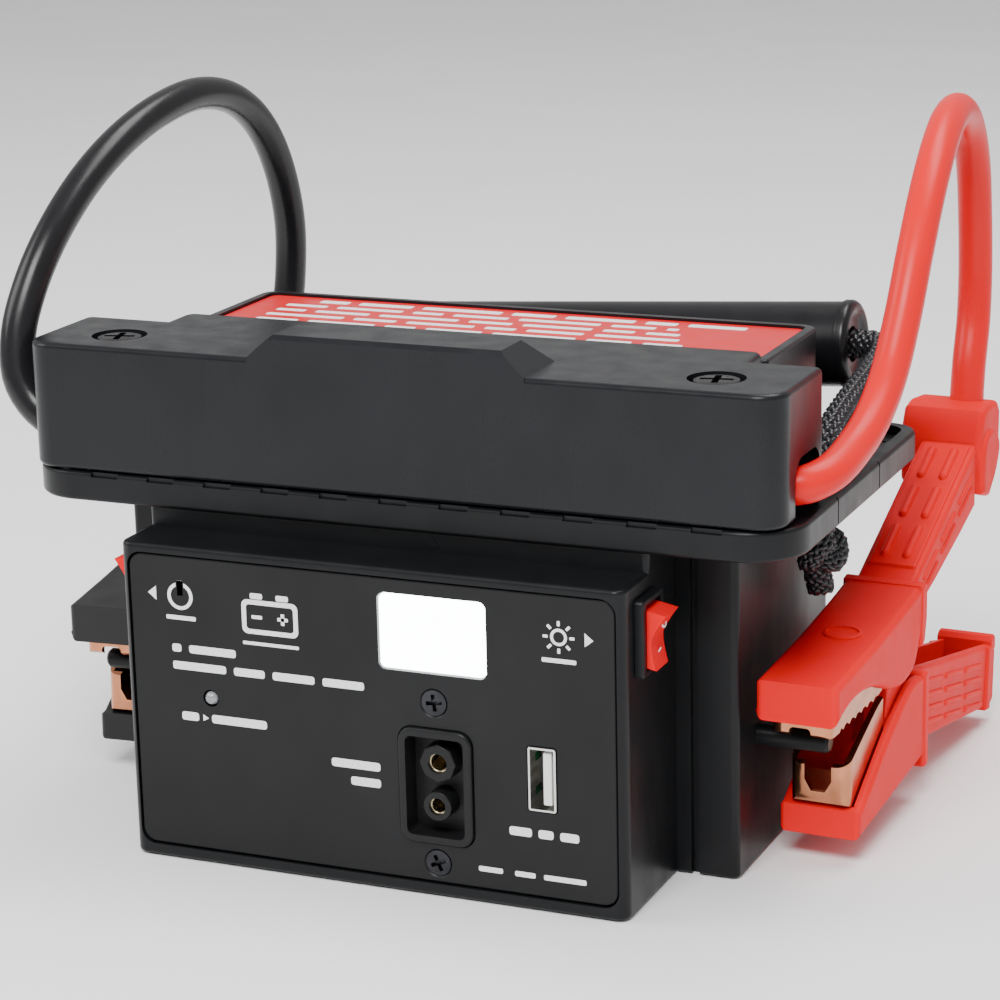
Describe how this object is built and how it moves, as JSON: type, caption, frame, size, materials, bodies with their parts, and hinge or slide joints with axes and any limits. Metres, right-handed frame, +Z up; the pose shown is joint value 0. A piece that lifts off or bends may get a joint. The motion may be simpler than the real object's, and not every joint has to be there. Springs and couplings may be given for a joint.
{
  "type": "jump starter pack",
  "caption": "Portable battery pack with a front control box, a rope carry handle and two jump leads whose clamps park on pegs at its sides.",
  "frame": {"origin": "on the flat base, on the middle plane, 50 mm behind the face of the control box", "axes": "+X to the side of the red lead, -Y out of the control panel, +Z up"},
  "size_m": [0.1923, 0.1487, 0.1482],
  "materials": {
    "case_plastic": "black moulded ABS, fine even grain",
    "cover_plastic": "black moulded ABS, satin with a fine grain",
    "panel_plastic": "black moulded ABS with a spark-eroded grain",
    "grip_plastic": "black tube, semi-gloss",
    "dark_zinc": "black passivated steel screws",
    "nickel_steel": "nickel-plated steel",
    "plated_brass": "bare turned brass",
    "copper": "copper-plated pressed steel",
    "white_plastic": "white moulded nylon",
    "lens_plastic": "frosted clear lens over white LEDs",
    "clear_plastic": "water-clear epoxy LED",
    "circuit_board": "green solder mask",
    "grey_plastic": "dark grey moulded case",
    "red_plastic": "red moulded plastic, satin",
    "black_clamp_plastic": "black moulded plastic, satin",
    "red_rubber": "red PVC cable sheath, satin",
    "black_rubber": "black PVC cable sheath, satin",
    "label_film": "red printed film label",
    "rope_braid": "black braided cord with pale flecks"
  },
  "bodies": {
    "case": {"main_case": "case_plastic", "control_box": "case_plastic", "front_panel": "panel_plastic", "panel_screw_upper": "dark_zinc", "panel_screw_lower": "dark_zinc", "charger_sleeve_upper": "plated_brass", "charger_sleeve_lower": "plated_brass", "charger_socket": "panel_plastic", "usb_shell": "nickel_steel", "usb_tongue": "white_plastic", "light_lens": "lens_plastic", "light_board": "circuit_board", "warning_led": "clear_plastic", "control_board": "circuit_board", "main_relay": "grey_plastic", "light_switch_body": "case_plastic", "main_switch_body": "case_plastic", "battery": "grey_plastic", "terminal_positive": "nickel_steel", "red_lug": "copper", "terminal_bolt_positive": "nickel_steel", "red_inner_lead": "red_rubber", "terminal_negative": "nickel_steel", "black_lug": "copper", "terminal_bolt_negative": "nickel_steel", "black_inner_lead": "black_rubber", "front_cover": "cover_plastic", "cover_screw_left": "dark_zinc", "cover_screw_right": "dark_zinc", "cable_saddle_left": "black_rubber", "cable_saddle_right": "black_rubber", "battery_lid": "cover_plastic", "warning_label": "label_film", "rope_knot_left": "rope_braid", "rope_knot_right": "rope_braid", "red_cable": "red_rubber", "black_cable": "black_rubber"},
    "light_rocker": {"light_switch_rocker": "red_plastic"},
    "main_rocker": {"main_switch_rocker": "red_plastic"},
    "red_clamp": {"red_clamp_upper_arm": "red_plastic", "red_clamp_upper_jaw": "copper", "red_clamp_cable_boot": "red_plastic", "red_clamp_pivot_pin": "nickel_steel", "red_clamp_spring": "nickel_steel"},
    "red_clamp_jaw": {"red_clamp_lower_arm": "red_plastic", "red_clamp_lower_jaw": "copper"},
    "black_clamp": {"black_clamp_upper_arm": "black_clamp_plastic", "black_clamp_upper_jaw": "copper", "black_clamp_cable_boot": "black_clamp_plastic", "black_clamp_pivot_pin": "nickel_steel", "black_clamp_spring": "nickel_steel"},
    "black_clamp_jaw": {"black_clamp_lower_arm": "black_clamp_plastic", "black_clamp_lower_jaw": "copper"},
    "handle": {"handle_rope": "rope_braid"},
    "grip": {"handle_grip": "grip_plastic"}
  },
  "joints": [
    {"name": "light_switch", "type": "hinge", "parent": "case", "child": "light_rocker", "pos_m": [0.055, -0.0388, 0.0564], "axis": [0, -1, 0], "range_deg": [0, 22]},
    {"name": "main_switch", "type": "hinge", "parent": "case", "child": "main_rocker", "pos_m": [-0.055, -0.0388, 0.0564], "axis": [0, 1, 0], "range_deg": [0, 22]},
    {"name": "red_clamp_release", "type": "slide", "parent": "case", "child": "red_clamp", "axis": [1, 0, 0], "range_m": [0, 0.03]},
    {"name": "red_clamp_open", "type": "hinge", "parent": "red_clamp", "child": "red_clamp_jaw", "pos_m": [0.0819, 0.024, 0.038], "axis": [0.9987, -0.0506, 0], "range_deg": [0, 18], "stiffness_Nm_per_rad": 1.2, "springref_deg": -6.88},
    {"name": "black_clamp_release", "type": "slide", "parent": "case", "child": "black_clamp", "axis": [-1, 0, 0], "range_m": [0, 0.03]},
    {"name": "black_clamp_open", "type": "hinge", "parent": "black_clamp", "child": "black_clamp_jaw", "pos_m": [-0.0813, 0.024, 0.038], "axis": [0.9962, 0.0872, 0], "range_deg": [0, 18], "stiffness_Nm_per_rad": 1.2, "springref_deg": -6.88},
    {"name": "handle_swing", "type": "hinge", "parent": "case", "child": "handle", "pos_m": [0, 0.007, 0.0805], "axis": [1, 0, 0], "range_deg": [0, 90]},
    {"name": "grip_spin", "type": "hinge", "parent": "handle", "child": "grip", "pos_m": [0.0105, 0.052, 0.09185], "axis": [0.9983, 0, 0.0591], "continuous": true}
  ]
}
